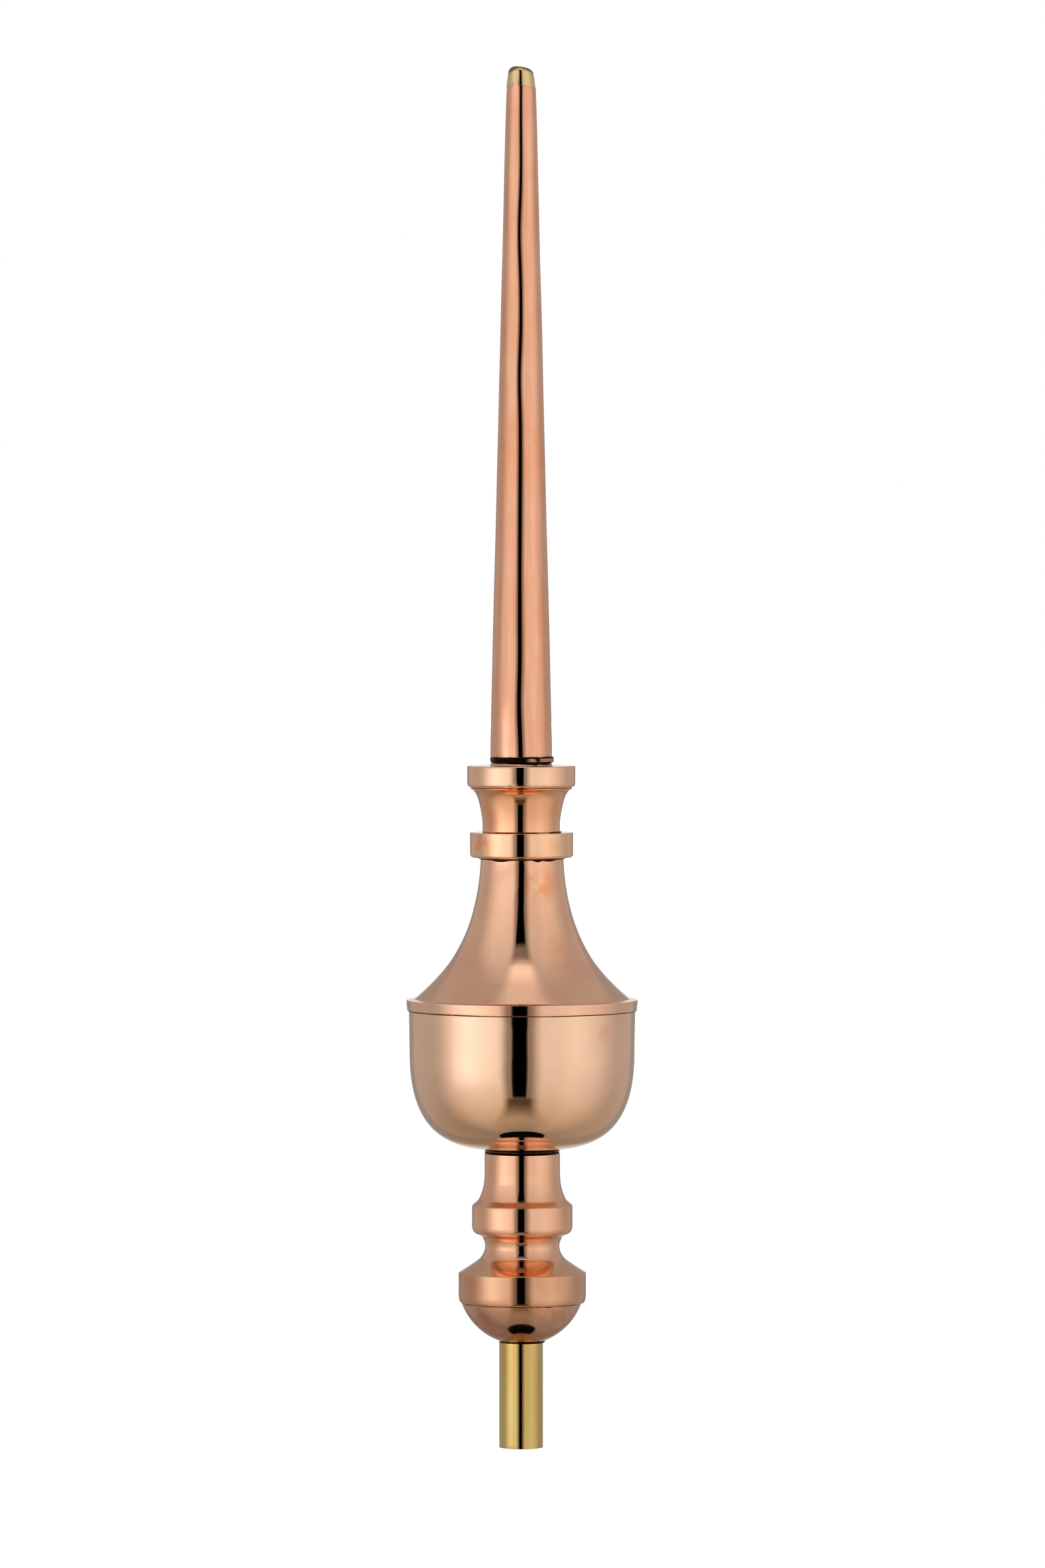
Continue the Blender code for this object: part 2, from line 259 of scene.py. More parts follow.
class FinialFinishes(bpy.types.PropertyGroup):
    """Colours and roughness of the metals."""

    spire: colour("Spire copper", "Drawn copper of the spire", (0.92, 0.49, 0.31))
    cup: colour("Cup copper", "Bright copper of the upper cup", (0.95, 0.595, 0.39))
    hollow: colour("Hollow copper", "Warmer copper of the cup's hollow", (0.96, 0.505, 0.285))
    ring: colour("Ring copper", "Bright copper of the ring", (0.96, 0.575, 0.35))
    bell: colour("Bell copper", "Spun copper of the bell", (0.95, 0.55, 0.355))
    bowl: colour("Bowl copper", "Pale polished copper of the bowl", (0.94, 0.60, 0.40))
    spindle: colour("Spindle copper", "Turned copper of the spindle", (0.88, 0.50, 0.315))
    band: colour("Band copper", "Satin copper of the spindle's band", (0.72, 0.395, 0.23))
    ball: colour("Ball copper", "Satin copper of the half ball", (0.73, 0.42, 0.285))
    warm: colour("Heat tint", "Orange left by the soldering heat", (0.90, 0.36, 0.15))
    rod: colour("Rod brass", "Drawn brass of the rod", (0.66, 0.475, 0.172))
    tip: colour("Tip brass", "Pale brass of the cap", (0.82, 0.61, 0.31))
    # Dark olive on the cap: tarnish along its top edge, and painted shade on its shoulders facing +X
    # and -X.
    tarnish_and_edge_shade: colour("Tarnish", "Dark olive of the cap's worn top edge", (0.26, 0.20, 0.08))
    solder_dark: colour("Burnt solder", "Dark brown of the burnt joints", (0.022, 0.010, 0.006))
    # Painted shade: near-black painted on the bowl's recessed foot and on the ring under it, where
    # the gap lies in shade.
    gap: colour("Gap", "Black of the deep gap under the bowl", (0.003, 0.002, 0.001))
    seat: colour("Seat copper", "Duller copper of the cone under the spire", (0.66, 0.38, 0.26))
    # Painted shade: this warm dark copper is painted on the flange's sloping underside, where its
    # shadow falls.
    underside: colour("Underside", "Warm shadow under the cup's flange", (0.60, 0.27, 0.11))
    # Near-black solder in the narrow gap under the spire's foot; it turns bronze towards +X.
    seat_gap: colour("Seat solder", "Burnt solder under the spire", (0.012, 0.006, 0.004))
    # Brown solder of the seams; at the skirt's foot the same brown is also painted shade, standing
    # for the shadow line under the skirt.
    seam: colour("Seam solder", "Brown solder of the fine seams", (0.11, 0.05, 0.026))
    solder_bright: colour("Bronze solder", "Bronze where solder is wiped", (0.62, 0.33, 0.17))
    polish: share("Polish", "Roughness of the polished copper", 0.055)
    satin: share("Satin", "Roughness of the satin copper", 0.10)
    drawn: share("Drawn brass", "Roughness of the brass", 0.07)


class FinialStudio(bpy.types.PropertyGroup):
    """Camera and light of the studio."""

    camera_distance: length("Camera distance", "From the axis to the camera", 3.608, 1.0, 10.0)
    camera_height: length("Camera height", "Above the rod's foot", 0.396)
    camera_side: length("Camera side", "Sideways step of the camera", 0.2 * MM)
    aim_height: length("Aim height", "Height on the axis at the middle of the frame", 0.2877)
    lens: FloatProperty(
        name="Lens", description="Focal length in millimetres on a frame 36 mm high",
        default=191.55, min=20.0, max=400.0, unit="CAMERA",
    )
    tent_radius: length("Tent radius", "Radius of the light tent", 9.0, 2.0, 50.0)
    key: share("Key panel", "Extra brightness of the key panel on the left", 0.90, 5.0)
    left: share("Left wall", "Brightness of the tent's left wall", 1.0, 5.0)
    right: share("Right wall", "Brightness of the tent's right wall", 0.91, 5.0)
    level_dip: share("Level dip", "How much weaker the left wall is at the finial's own height", 0.25)
    sides: share("Sides", "Brightness of the tent's sides and back", 0.50, 5.0)
    roof: share("Roof", "Brightness overhead", 0.46, 5.0)
    below: share("Below", "Brightness from below", 0.27, 5.0)
    strip: share("Roof strip", "Extra brightness of the strip overhead", 0.55, 5.0)
    backdrop: share("Backdrop", "Brightness of the white backdrop", 1.0, 5.0)
    panel_side: length("Panel side", "From the axis to the key panel's far end", 1.2, 0.1, 5.0)
    panel_back: length("Panel back", "How far behind the axis the key panel begins", 0.1)
    panel_foot: length("Panel foot", "Height of the key panel's lower edge", -0.36, -2.0)
    panel_head: length("Panel head", "Height of the key panel's upper edge", 0.42)
    stand_radius: length("Stand radius", "Radius of the dark stand below", 134 * MM)
    stand_back: length("Stand back", "How far behind the axis the stand's middle is", 22 * MM)
    stand_drop: length("Stand drop", "Depth of the stand below the rod's foot", 390 * MM)


# Turned shapes


def bump(value, middle, spread):
    """Smooth hump of height 1 at the middle."""
    return exp(-((value - middle) ** 2) / (2 * spread**2))


def traced(place, count):
    """Curve as corners without rounding: place gives its (radius, height) at a share of the way."""
    return [(*place(step / count), 0.0) for step in range(count + 1)]


def rounded(level, upright, count):
    """Quarter of an ellipse that starts level at one point and ends upright at the other."""

    def place(along):
        angle = pi / 2 * along
        radius = level[0] + (upright[0] - level[0]) * sin(angle)
        return radius, upright[1] + (level[1] - upright[1]) * cos(angle)

    return traced(place, count)


def flared(narrow, wide, power, count):
    """Hollow curve that leaves the narrow end upright and opens faster towards the wide end."""

    def place(along):
        radius = narrow[0] + (wide[0] - narrow[0]) * along**power
        return radius, narrow[1] + (wide[1] - narrow[1]) * along

    return traced(place, count)


def hollow_side(waist, height, lean, lip, count):
    """Side that leaves the waist upright, leans out as a cone and turns out more at its top."""

    def place(along):
        radius = waist[0] + lean * along**2 / (along + HOLLOW_BEND) + lip * along**LIP_POWER
        return radius, waist[1] + height * along

    return traced(place, count)


def pulled(handles, count):
    """Curve from the first handle to the last, pulled towards those between them."""
    last = len(handles) - 1

    def place(along):
        weights = [comb(last, n) * (1 - along) ** (last - n) * along**n for n in range(last + 1)]
        return [sum(weight * handle[part] for weight, handle in zip(weights, handles))
                for part in (0, 1)]

    return traced(place, count)


def swept(start, end, pull, lean, ease, count):
    """Curve that leaves its start downwards, leaning out, for a share of its height."""
    drop = start[1] - end[1]
    upper = (start[0] + pull * drop * tan(lean), start[1] - pull * drop)
    lower = (end[0] + ease * (start[0] - end[0]), end[1] + ease * drop)
    return pulled((start, upper, lower, end), count)


def turn_at(before, corner, after):
    """Angle in degrees by which an outline turns at a corner."""
    ways = [Vector((end[0] - start[0], end[1] - start[1]))
            for start, end in ((before, corner), (corner, after))]
    return degrees(ways[0].angle(ways[1], 0.0))


def broken(outline):
    """Gives every sharp corner that has no rounding of its own a very small one."""
    crisp = list(outline)
    for place in range(1, len(outline) - 1):
        radius, height, rounding = outline[place]
        turned = turn_at(outline[place - 1], outline[place], outline[place + 1])
        if rounding == 0 and turned > SHARP_TURN:
            crisp[place] = (radius, height, CRISP_EDGE)
    return crisp


def laid_out(outline):
    """Lays an outline, from the top of the axis down its outer side, as a chain of edges."""
    outline = broken(outline)
    bm = bmesh.new()
    corners = [bm.verts.new((radius, 0.0, height)) for radius, height, rounding in outline]
    for upper, lower in zip(corners, corners[1:]):
        bm.edges.new((upper, lower))
    for corner, (radius, height, rounding) in zip(corners, outline):
        if rounding > 0:
            bmesh.ops.bevel(
                bm, geom=[corner], offset=rounding, offset_type="OFFSET", segments=5,
                profile=0.5, affect="VERTICES", material=-1, clamp_overlap=True,
            )
    return bm


def divided(bm, longest):
    """Divides the outline's long edges, but not the hidden ones that reach the axis."""
    for edge in list(bm.edges):
        if min(abs(vert.co.x) for vert in edge.verts) < TOUCHING:
            continue
        cuts = ceil(edge.calc_length() / longest) - 1
        if cuts > 0:
            bmesh.ops.subdivide_edges(bm, edges=[edge], cuts=cuts)


def spun(bm, steps):
    """Spins the outline into a closed skin whose faces point outwards."""
    bmesh.ops.spin(
        bm, geom=bm.verts[:] + bm.edges[:], cent=(0.0, 0.0, 0.0), axis=(0.0, 0.0, 1.0),
        dvec=(0.0, 0.0, 0.0), angle=2 * pi, steps=steps, use_merge=True,
    )
    bmesh.ops.remove_doubles(bm, verts=bm.verts[:], dist=TOUCHING)
    bmesh.ops.recalc_face_normals(bm, faces=bm.faces[:])


def worn(bm, wear):
    """Moves every point by the (outward, upward) step that `wear` gives for its place."""
    for vert in bm.verts:
        radius = hypot(vert.co.x, vert.co.y)
        if radius < TOUCHING:
            continue
        azimuth = atan2(vert.co.x, -vert.co.y)
        outward, upward = wear(azimuth, vert.co.z, radius)
        grown = (radius + outward) / radius
        vert.co = (vert.co.x * grown, vert.co.y * grown, vert.co.z + upward)


def waviness(azimuth, height, seed, coarse, depth):
    """Smooth unevenness of hand work round a turned piece."""
    place = (cos(azimuth) * coarse, sin(azimuth) * coarse, height / (40 * MM) * coarse + seed)
    return depth * noise.noise(Vector(place))


def piece_from(bm, name, material):
    """Makes the finished object, at the origin and smooth."""
    mesh = bpy.data.meshes.new(name)
    bm.to_mesh(mesh)
    bm.free()
    for polygon in mesh.polygons:
        polygon.use_smooth = True
    piece = bpy.data.objects.new(name, mesh)
    bpy.context.scene.collection.objects.link(piece)
    piece.data.materials.append(material)
    return piece


def dress(node, outline, material, wear):
    """Turns a finished piece that stands for a packed one, soldered on a little to one side."""
    bm = laid_out(outline)
    divided(bm, LONGEST_STEP[node])
    spun(bm, ROUND_STEPS.get(node, 144))
    worn(bm, wear)
    bmesh.ops.translate(bm, verts=bm.verts[:], vec=(ASIDE.get(node, 0.0), 0.0, 0.0))
    piece = piece_from(bm, "finial_" + node, material)
    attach(piece, BODY)
    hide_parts(node)


# Nodes of the materials


class Wire:
    """A value on its way through a material's nodes, which adds and multiplies like a number."""

    def __init__(self, tree, socket):
        self.tree = tree
        self.socket = socket

    def __add__(self, other):
        return calc("ADD", self, other)

    def __sub__(self, other):
        return calc("SUBTRACT", self, other)

    def __rsub__(self, other):
        return calc("SUBTRACT", other, self)

    def __mul__(self, other):
        return calc("MULTIPLY", self, other)

    def __truediv__(self, other):
        return calc("DIVIDE", self, other)


def new_material(name):
    """Makes a material with its nodes and returns it with its tree and shader."""
    material = bpy.data.materials.new(name)
    material.use_nodes = True
    tree = material.node_tree
    return material, tree, tree.nodes["Principled BSDF"]


def feed(socket, value):
    """Links a socket to a wire, or sets it to a plain value."""
    if isinstance(value, Wire):
        value.tree.links.new(value.socket, socket)
    else:
        socket.default_value = value


def calc(operation, first, second=0.0, clamp=False):
    """Adds a math node and returns its result."""
    tree = first.tree if isinstance(first, Wire) else second.tree
    node = tree.nodes.new("ShaderNodeMath")
    node.operation = operation
    node.use_clamp = clamp
    feed(node.inputs[0], first)
    feed(node.inputs[1], second)
    return Wire(tree, node.outputs[0])


def eased(value, low, high, start=0.0, end=1.0):
    """Smooth step from start to end while the value goes from low to high."""
    node = value.tree.nodes.new("ShaderNodeMapRange")
    node.interpolation_type = "SMOOTHSTEP"
    feed(node.inputs["Value"], value)
    feed(node.inputs["From Min"], low)
    feed(node.inputs["From Max"], high)
    feed(node.inputs["To Min"], start)
    feed(node.inputs["To Max"], end)
    return Wire(value.tree, node.outputs["Result"])


def window(value, low, high, soft):
    """1 between low and high and 0 outside, with soft edges centred on them."""
    rise = eased(value, low - soft, low + soft)
    fall = eased(value, high - soft, high + soft, 1.0, 0.0)
    return rise * fall


def blended(amount, first, second):
    """Mixes two colours by an amount."""
    node = amount.tree.nodes.new("ShaderNodeMix")
    node.data_type = "RGBA"
    feed(node.inputs["Factor"], amount)
    for name, tone in (("A", first), ("B", second)):
        feed(node.inputs[name], (*tone, 1.0) if isinstance(tone, tuple) else tone)
    return Wire(amount.tree, node.outputs["Result"])


def parts_of(place):
    """The three parts of a place."""
    node = place.tree.nodes.new("ShaderNodeSeparateXYZ")
    feed(node.inputs[0], place)
    return [Wire(place.tree, output) for output in node.outputs]


def place_of(tree):
    """Object coordinates, with their three parts."""
    place = Wire(tree, tree.nodes.new("ShaderNodeTexCoord").outputs["Object"])
    return place, *parts_of(place)


def stretched(place, scale):
    """Places scaled by three numbers."""
    node = place.tree.nodes.new("ShaderNodeMapping")
    feed(node.inputs["Vector"], place)
    node.inputs["Scale"].default_value = scale
    return Wire(place.tree, node.outputs["Vector"])


def cloud(place, scale, detail=2.0, distortion=0.0):
    """Smooth noise between about 0 and 1."""
    node = place.tree.nodes.new("ShaderNodeTexNoise")
    feed(node.inputs["Vector"], place)
    node.inputs["Scale"].default_value = scale
    node.inputs["Detail"].default_value = detail
    node.inputs["Distortion"].default_value = distortion
    return Wire(place.tree, node.outputs["Fac"])


def spot(place, centre, size):
    """1 at a centre, fading to 0 at the given distance."""
    node = place.tree.nodes.new("ShaderNodeVectorMath")
    node.operation = "DISTANCE"
    feed(node.inputs[0], place)
    node.inputs[1].default_value = centre
    return eased(Wire(place.tree, node.outputs["Value"]), 0.15 * size, size, 1.0, 0.0)


def turning_lines(x, y, z, slope, spacing):
    """Fine rings left by the spinning tool, following the outline.

    The slope says how the radius changes as the outline goes down: 1 for a bell, -1 for a bowl.
    """
    across = calc("SQRT", x * x + y * y)
    along = across * slope - z
    node = x.tree.nodes.new("ShaderNodeCombineXYZ")
    feed(node.inputs[0], x * LINE_DRIFT)
    feed(node.inputs[1], y * LINE_DRIFT)
    feed(node.inputs[2], along * (1 / spacing))
    return cloud(Wire(x.tree, node.outputs[0]), 1.0, 1.0)


def finished(shader, tone, rough, relief, depth, strength=1.0):
    """Gives a metal its colour, its roughness and a fine relief."""
    node = tone.tree.nodes.new("ShaderNodeBump")
    node.inputs["Strength"].default_value = strength
    node.inputs["Distance"].default_value = depth
    feed(node.inputs["Height"], relief)
    feed(shader.inputs["Normal"], Wire(tone.tree, node.outputs["Normal"]))
    feed(shader.inputs["Base Color"], tone)
    feed(shader.inputs["Roughness"], rough)
    shader.inputs["Metallic"].default_value = 1.0


def deeper(base, amount):
    """The same metal, deeper and redder."""
    return (base[0] * (1 - 0.35 * amount), base[1] * (1 - amount), base[2] * (1 - 1.25 * amount))


def copper(name, base, roughness, warm, slope=0.0, spacing=0.6 * MM, line_depth=0.002 * MM,
           cloudiness=0.10, streaks=0.0, tints=(), zones=()):
    """Spun copper: turning lines, soft clouding of its colour, and heat tint at given places.

    A zone is (lower height, upper height, softness, colour, how much rougher). A tint is (centre,
    size, strength).
    """
    material, tree, shader = new_material(name)
    base = tuple(base)
    place, x, y, z = place_of(tree)
    lines = turning_lines(x, y, z, slope, spacing)
    shade = eased(cloud(place, 55.0, 2.0, 0.4), 0.35, 0.75)
    tone = blended(shade, base, deeper(base, cloudiness))
    duller = 1.0
    for low, high, soft, other, rougher in zones:
        other = tuple(other)
        inside = window(z, low, high, soft)
        tone = blended(inside, tone, blended(shade, other, deeper(other, 0.18)))
        duller = inside * rougher + duller
    if streaks > 0:
        drawn = cloud(stretched(place, (1.0, 1.0, 0.06)), 420.0)
        tone = blended(eased(drawn, 0.35, 0.70) * streaks, tone, deeper(base, 0.30))
    fine = cloud(place, 140.0)
    uneven = eased(fine, 0.28, 0.60)
    for centre, size, amount in tints:
        tone = blended(spot(place, centre, size) * uneven * amount, tone, tuple(warm))
    rough = (fine * 0.35 + lines * 0.25 + 0.70) * roughness * duller
    finished(shader, tone, rough, lines, line_depth)
    return material


def satin_copper(name, base, roughness):
    """Satin copper: clouded by handling, with faint rubbed marks."""
    material, tree, shader = new_material(name)
    base = tuple(base)
    place, x, y, z = place_of(tree)
    lines = turning_lines(x, y, z, -0.6, 0.5 * MM)
    shade = eased(cloud(place, 70.0, 3.0, 1.2), 0.32, 0.70)
    tone = blended(shade, base, deeper(base, 0.26))
    rough = (cloud(place, 180.0) + 0.55) * roughness
    finished(shader, tone, rough, lines, 0.002 * MM)
    return material


def drawn_brass(name, base, roughness, tarnish_and_edge_shade=None):
    """Drawn brass bar: fine lines along its length and a faint change of tone.

    Tarnish with painted edge shade is (height above which it lies, its slope down towards +X,
    colour). It comes down a little more on both shoulders, as painted shade of their dark edges.
    """
    material, tree, shader = new_material(name)
    base = tuple(base)
    place, x, y, z = place_of(tree)
    fine = cloud(stretched(place, (1.0, 1.0, 0.03)), 1800.0, 3.0)
    broad = cloud(stretched(place, (1.0, 1.0, 0.12)), 160.0)
    tone = blended(eased(broad, 0.3, 0.75), base, deeper(base, 0.14))
    if tarnish_and_edge_shade:
        above, slope, dark = tarnish_and_edge_shade
        fall = calc("MAXIMUM", x + CAP_LEVEL, 0.0) * slope
        # Painted shade: the x * x term darkens the shoulders that face +X and -X.
        height = z + fall + x * x * SHOULDER_EDGE_SHADE
        tone = blended(eased(height, above, above + 0.5 * MM), tone, tuple(dark))
    rough = (fine * 0.5 + 0.75) * roughness
    finished(shader, tone, rough, fine, 0.001 * MM)
    return material


def solder(name, dark, bright, brightness, side=0.0, band=None):
    """Uneven solder, burnt dark, with bronze patches where it was wiped.

    Above 0, the side makes it brighter towards +X. A band keeps the bronze between two heights.
    """
    material, tree, shader = new_material(name)
    place, x, y, z = place_of(tree)
    patches = cloud(stretched(place, (1.0, 1.0, 0.4)), 110.0, 2.0, 0.3)
    if side > 0:
        patches = patches + x * side
    wiped = eased(patches, 0.62 - brightness, 0.74 - brightness)
    if band:
        wiped = wiped * window(z, *band, 0.15 * MM)
    tone = blended(wiped, tuple(dark), tuple(bright))
    grain = cloud(place, 900.0, 1.0)
    finished(shader, tone, grain * 0.2 + 0.30, grain, 0.03 * MM, 0.5)
    return material


# Spire, its cap and the upper cup

# Dents of the spire: (height, how much the front turns aside, spread)
SPIRE_LEANS = (
    (526 * MM, -0.62 * MM, 11 * MM),
    (463 * MM, -0.58 * MM, 10 * MM),
    (372 * MM, -0.40 * MM, 26 * MM),
    (322 * MM, -0.55 * MM, 10 * MM),
)
LEAN_SPREAD = 0.6

# Waves of the cap's joint: (azimuth in degrees, height, spread in degrees)
FRONT_WAVES = ((-27, 1.5 * MM, 9), (8, 0.85 * MM, 20))
BACK_WAVES = ((150, 0.9 * MM, 18),)
CAP_JOINT_DROP = 0.70 * MM
PINCH_HEIGHT = 20 * MM
JOINT_REACH = 4 * MM
CAP_JOINT_REACH = 3 * MM
CAP_STEADY = 3.5 * MM
CAP_FALL = 14
TARNISH_AND_SHADE_DEPTH = 1.25 * MM

# Knocks on the flange: (azimuth in degrees, depth, spread in degrees)
FLANGE_KNOCKS = ((-10, 0.25 * MM, 2.5), (24, 0.20 * MM, 2.0), (141, 0.15 * MM, 3.0))
KNOCK_RISE = 19.47 * MM
KNOCK_REACH = 0.9 * MM


def waves_at(side, waves):
    """Height of a row of waves at a place."""
    return sum(height * bump(side, middle, spread) for middle, height, spread in waves)


def cap_joint(azimuth):
    """Height of the wavy joint between the spire and its brass cap."""
    side = degrees(azimuth)
    wave = waves_at(side, FRONT_WAVES) + waves_at(abs(side), BACK_WAVES)
    return top_of("spire") - CAP_JOINT_DROP + wave


def close_to(place, end, reach):
    """1 at an end, falling to 0 at the given distance from it."""
    return max(0.0, 1 - abs(end - place) / reach)


def spire_wear(azimuth, height, radius):
    """Shallow dents that turn the front a little to the side, and the drawn-in, wavy top edge."""
    top = top_of("spire")
    lean = sum(amount * bump(height, middle, spread) for middle, amount, spread in SPIRE_LEANS)
    drawn_in = close_to(height, top, PINCH_HEIGHT) ** 2
    wavy = waviness(azimuth, height, 3.1, 1.3, 0.10 * MM) * min(1.0, radius / (6 * MM))
    outward = lean * azimuth * exp(-azimuth**2 / (2 * LEAN_SPREAD**2)) + wavy * (1 - drawn_in)
    if radius > 1 * MM:
        outward -= bpy.context.scene.finial_spire.pinch * drawn_in
    return outward, (cap_joint(azimuth) - top) * close_to(height, top, JOINT_REACH)


def tip_wear(azimuth, height, radius):
    """Wavy lower edge, and a top that falls to the right."""
    foot = foot_of("tip_cap")
    top = top_of("tip_cap")
    upward = (cap_joint(azimuth) - foot) * close_to(height, foot, CAP_JOINT_REACH)
    across = radius * sin(azimuth)
    up = max(0.0, (height - foot - CAP_STEADY) / (top - foot - CAP_STEADY))
    fall = max(0.0, across + CAP_LEVEL) * bpy.context.scene.finial_spire.cap_tilt
    fall += max(0.0, across) ** 2 * CAP_FALL
    return 0.0, upward - fall * up


def upper_cup_wear(azimuth, height, radius):
    """Small knocks on the flange's lower edge."""
    edge = bump(height, foot_of("upper_cup") + KNOCK_RISE, KNOCK_REACH)
    knocks = waves_at(degrees(azimuth), FLANGE_KNOCKS)
    return waviness(azimuth, height, 7.7, 1.5, 0.05 * MM) - knocks * edge, 0.0


class FINIAL_OT_spire(bpy.types.Operator):
    """Makes the long copper spire and the brass cap on its tip"""

    bl_idname = "finial.spire"
    bl_label = "Spire and Cap"

    def execute(self, context):
        sizes = context.scene.finial_spire
        finishes = context.scene.finial_finishes
        foot = foot_of("spire")
        top = top_of("spire")
        curl_foot = (sizes.foot_radius - sizes.curl_width, foot)
        curl_top = (sizes.foot_radius, foot + sizes.curl_height)
        spire = [
            (0.0, top, 0.0),
            (sizes.top_radius, top, 0.0),
            *rounded(curl_foot, curl_top, 8)[::-1],
            (sizes.foot_radius - sizes.curl_width - 0.5 * MM, foot, 0.0),
            (0.0, foot, 0.0),
        ]
        metal = copper(
            "spire_copper", finishes.spire, finishes.polish, spacing=2.5 * MM,
            line_depth=0.0006 * MM, streaks=0.5, warm=finishes.warm, tints=TINTS["spire"],
        )
        dress("spire", spire, metal, spire_wear)

        cap_foot = foot_of("tip_cap")
        cap_top = top_of("tip_cap")
        shoulder = sizes.top_radius - sizes.cap_taper
        flat = (shoulder - sizes.cap_round, cap_top)
        cap = [
            (0.0, cap_top, 0.0),
            (0.5 * flat[0], cap_top, 0.0),
            *rounded(flat, (shoulder, cap_top - sizes.cap_round), 10),
            (sizes.top_radius - sizes.pinch, cap_foot, 0.0),
            (0.0, cap_foot, 0.0),
        ]
        brass = drawn_brass("tip_brass", finishes.tip, finishes.drawn,
                            (cap_top - TARNISH_AND_SHADE_DEPTH, sizes.cap_tilt, finishes.tarnish_and_edge_shade))
        dress("tip_cap", cap, brass, tip_wear)
        return {"FINISHED"}


class FINIAL_OT_upper_cup(bpy.types.Operator):
    """Makes the cup under the spire, with its seat, flange and hollow side"""

    bl_idname = "finial.upper_cup"
    bl_label = "Upper Cup"

    def execute(self, context):
        spire = context.scene.finial_spire
        sizes = context.scene.finial_cup
        finishes = context.scene.finial_finishes
        foot = foot_of("upper_cup")
        top = top_of("upper_cup")
        flange_top = top - spire.seat_neck - spire.cone_height
        flange_foot = flange_top - sizes.flange_height
        waist = (sizes.waist_radius, foot + sizes.waist_height)
        hollow_top = (sizes.flange_radius - sizes.flange_overhang, flange_foot - sizes.flange_under)
        under = (sizes.flange_radius - sizes.flange_round, flange_foot)
        side = (sizes.flange_radius, flange_foot + sizes.flange_round)
        outline = [
            (0.0, top, 0.0),
            (spire.seat_radius, top, 0.0),
            (spire.seat_radius, flange_top + spire.cone_height, 0.0),
            (spire.cone_top, flange_top + spire.cone_height, 0.2 * MM),
            (spire.cone_foot, flange_top, 0.2 * MM),
            (sizes.flange_radius, flange_top, 0.45 * MM),
            *rounded(under, side, 6)[::-1],
            (*hollow_top, 0.3 * MM),
            *hollow_side(waist, sizes.hollow_height, sizes.hollow_lean, sizes.hollow_lip, 30)[::-1],
            (sizes.waist_radius, foot, 0.0),
            (0.0, foot, 0.0),
        ]
        metal = copper(
            "upper_cup_copper", finishes.cup, finishes.polish, slope=0.3, spacing=0.7 * MM,
            cloudiness=0.12, warm=finishes.warm, tints=TINTS["upper_cup"],
            zones=(
                (foot, flange_foot - 1.5 * MM, 1.5 * MM, finishes.hollow, 0.0),
                # Painted shade: the flange's sloping underside is painted a warm dark copper.
                (flange_foot - 0.35 * MM, flange_foot + 0.1 * MM, 0.1 * MM, finishes.underside, 0.0),
                (flange_top + 0.2 * MM, top, 0.1 * MM, finishes.seat, 0.5),
            ),
        )
        dress("upper_cup", outline, metal, upper_cup_wear)
        return {"FINISHED"}


# Ring, bell and bowl

FLARE_START = 25 * MM
FLARE_REACH = 10 * MM
SPIN_MARK_DEPTH = 0.02 * MM
SPIN_MARK_HEIGHT = 2.2 * MM


def ring_wear(azimuth, height, radius):
    """Very slight unevenness."""
    return waviness(azimuth, height, 11.3, 1.4, 0.06 * MM), 0.0


def bell_wear(azimuth, height, radius):
    """Slight waviness, most of it along the skirt, which stays inside the rim's size."""
    foot = foot_of("bell")
    skirt = bump(height, foot, 1.5 * MM)
    inward = -abs(waviness(azimuth, height, 5.2, 2.0, 0.10 * MM))
    lower = min(1.0, max(0.0, (radius - FLARE_START) / FLARE_REACH))
    marks = 1 + noise.noise(Vector((0.4 * azimuth, 0.0, height / SPIN_MARK_HEIGHT)))
    inward -= lower * SPIN_MARK_DEPTH * marks
    return inward, skirt * waviness(azimuth, height, 9.4, 3.0, 0.25 * MM)


def bowl_wear(azimuth, height, radius):
    """Slight flats from planishing."""
    return -abs(waviness(azimuth, height, 2.6, 2.2, 0.10 * MM)), 0.0


class FINIAL_OT_collar_ring(bpy.types.Operator):
    """Makes the plain ring between the upper cup and the bell"""

    bl_idname = "finial.collar_ring"
    bl_label = "Collar Ring"

    def execute(self, context):
        sizes = context.scene.finial_cup
        finishes = context.scene.finial_finishes
        foot = foot_of("collar_ring")
        top = top_of("collar_ring")
        under = (sizes.ring_radius - sizes.ring_round, foot)
        side = (sizes.ring_radius, foot + sizes.ring_round)
        outline = [
            (0.0, top, 0.0),
            (sizes.ring_radius - 3.0 * MM, top, 0.0),
            (sizes.ring_radius, top, 0.25 * MM),
            *rounded(under, side, 6)[::-1],
            (sizes.ring_radius - 4.0 * MM, foot, 0.0),
            (0.0, foot, 0.0),
        ]
        metal = copper(
            "ring_copper", finishes.ring, finishes.polish, warm=finishes.warm,
            tints=TINTS["collar_ring"],
        )
        dress("collar_ring", outline, metal, ring_wear)
        return {"FINISHED"}


